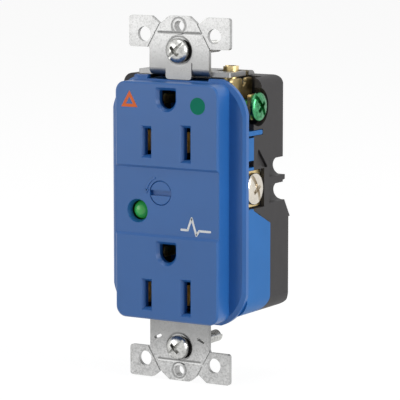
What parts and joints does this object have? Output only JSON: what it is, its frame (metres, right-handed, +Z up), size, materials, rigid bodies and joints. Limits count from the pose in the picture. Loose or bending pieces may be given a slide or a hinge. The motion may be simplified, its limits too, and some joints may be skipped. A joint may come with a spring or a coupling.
{
  "type": "surge protective duplex receptacle",
  "caption": "Decorator style duplex wall receptacle with surge protection, isolated ground, side terminals, status lamp, alarm switch and a steel wrap-around strap.",
  "frame": {"origin": "midway between the two box screws on the back plane of the strap, which is the plane of the wall", "axes": "+Z up, the face looks towards -Y, +X to the right seen from the front"},
  "size_m": [0.0434, 0.0328, 0.1024],
  "materials": {
    "blue_nylon": "moulded, satin",
    "black_nylon": "moulded, fine matte",
    "galvanised_steel": "zinc plated sheet, dull",
    "zinc_steel": "zinc plated",
    "nickel_screw": "nickel plated",
    "brass_screw": "plain brass",
    "green_screw": "green plated steel",
    "brass": "rolled brass sheet",
    "dark_fibre": "pressed fibre",
    "grey_fibre": "vulcanised fibre sheet",
    "green_lens": "tinted epoxy",
    "tinned_wire": "tinned copper",
    "board_green": "solder mask",
    "varistor_blue": "epoxy coat",
    "fuse_white": "ceramic sleeve",
    "capacitor_yellow": "film capacitor box"
  },
  "bodies": {
    "root": {"front_cover": "blue_nylon", "contact_deck": "black_nylon", "body_housing": "blue_nylon", "back_cover": "black_nylon", "mounting_strap": "galvanised_steel", "mounting_screw_washers": "dark_fibre", "neutral_bus": "brass", "hot_bus": "brass", "ground_bus": "brass", "alarm_switch_contacts": "brass", "status_led": "green_lens", "led_leads": "tinned_wire", "fibre_insulator": "grey_fibre", "circuit_board": "board_green", "surge_varistors": "varistor_blue", "thermal_fuses": "fuse_white", "alarm_sounder": "black_nylon", "film_capacitor": "capacitor_yellow", "board_resistors": "black_nylon", "line_leads": "tinned_wire", "assembly_screws": "zinc_steel"},
    "alarm_switch": {"alarm_switch": "blue_nylon"},
    "upper_screw": {"upper_mounting_screw": "zinc_steel"},
    "lower_screw": {"lower_mounting_screw": "zinc_steel"},
    "neutral_clamp": {"neutral_clamp_plate": "brass"},
    "neutral_screw": {"neutral_terminal_screw": "nickel_screw"},
    "hot_clamp": {"hot_clamp_plate": "brass"},
    "hot_screw": {"hot_terminal_screw": "brass_screw"},
    "ground_clamp": {"ground_clamp_plate": "brass"},
    "ground_screw": {"ground_terminal_screw": "green_screw"}
  },
  "joints": [
    {"name": "alarm_switch_turn", "type": "hinge", "parent": "root", "child": "alarm_switch", "pos_m": [-0.0022, -0.006, 0.0025], "axis": [0, -1, 0], "range_deg": [0, 90]},
    {"name": "upper_mounting_screw_turn", "type": "hinge", "parent": "root", "child": "upper_screw", "pos_m": [0, 0, 0.04165], "axis": [0, -1, 0], "continuous": true},
    {"name": "lower_mounting_screw_turn", "type": "hinge", "parent": "root", "child": "lower_screw", "pos_m": [0, 0, -0.04165], "axis": [0, -1, 0], "continuous": true},
    {"name": "neutral_clamp_travel", "type": "slide", "parent": "root", "child": "neutral_clamp", "axis": [1, 0, 0], "range_m": [-0.00079, 0.00119]},
    {"name": "neutral_terminal_screw_turn", "type": "hinge", "parent": "neutral_clamp", "child": "neutral_screw", "pos_m": [0.0194, 0.0049, 0.0038], "axis": [1, 0, 0], "range_deg": [-363, 543]},
    {"name": "hot_clamp_travel", "type": "slide", "parent": "root", "child": "hot_clamp", "axis": [-1, 0, 0], "range_m": [-0.00079, 0.00119]},
    {"name": "hot_terminal_screw_turn", "type": "hinge", "parent": "hot_clamp", "child": "hot_screw", "pos_m": [-0.0194, 0.0049, 0.0038], "axis": [-1, 0, 0], "range_deg": [-363, 543]},
    {"name": "ground_clamp_travel", "type": "slide", "parent": "root", "child": "ground_clamp", "axis": [1, 0, 0], "range_m": [-0.00079, 0.00119]},
    {"name": "ground_terminal_screw_turn", "type": "hinge", "parent": "ground_clamp", "child": "ground_screw", "pos_m": [0.0194, 0.0073, 0.0264], "axis": [1, 0, 0], "range_deg": [-363, 543]}
  ],
  "couplings": [
    {"joint": "neutral_terminal_screw_turn", "follows": "neutral_clamp_travel", "rad_per_m": 7913.3},
    {"joint": "hot_terminal_screw_turn", "follows": "hot_clamp_travel", "rad_per_m": 7913.3},
    {"joint": "ground_terminal_screw_turn", "follows": "ground_clamp_travel", "rad_per_m": 7913.3}
  ]
}
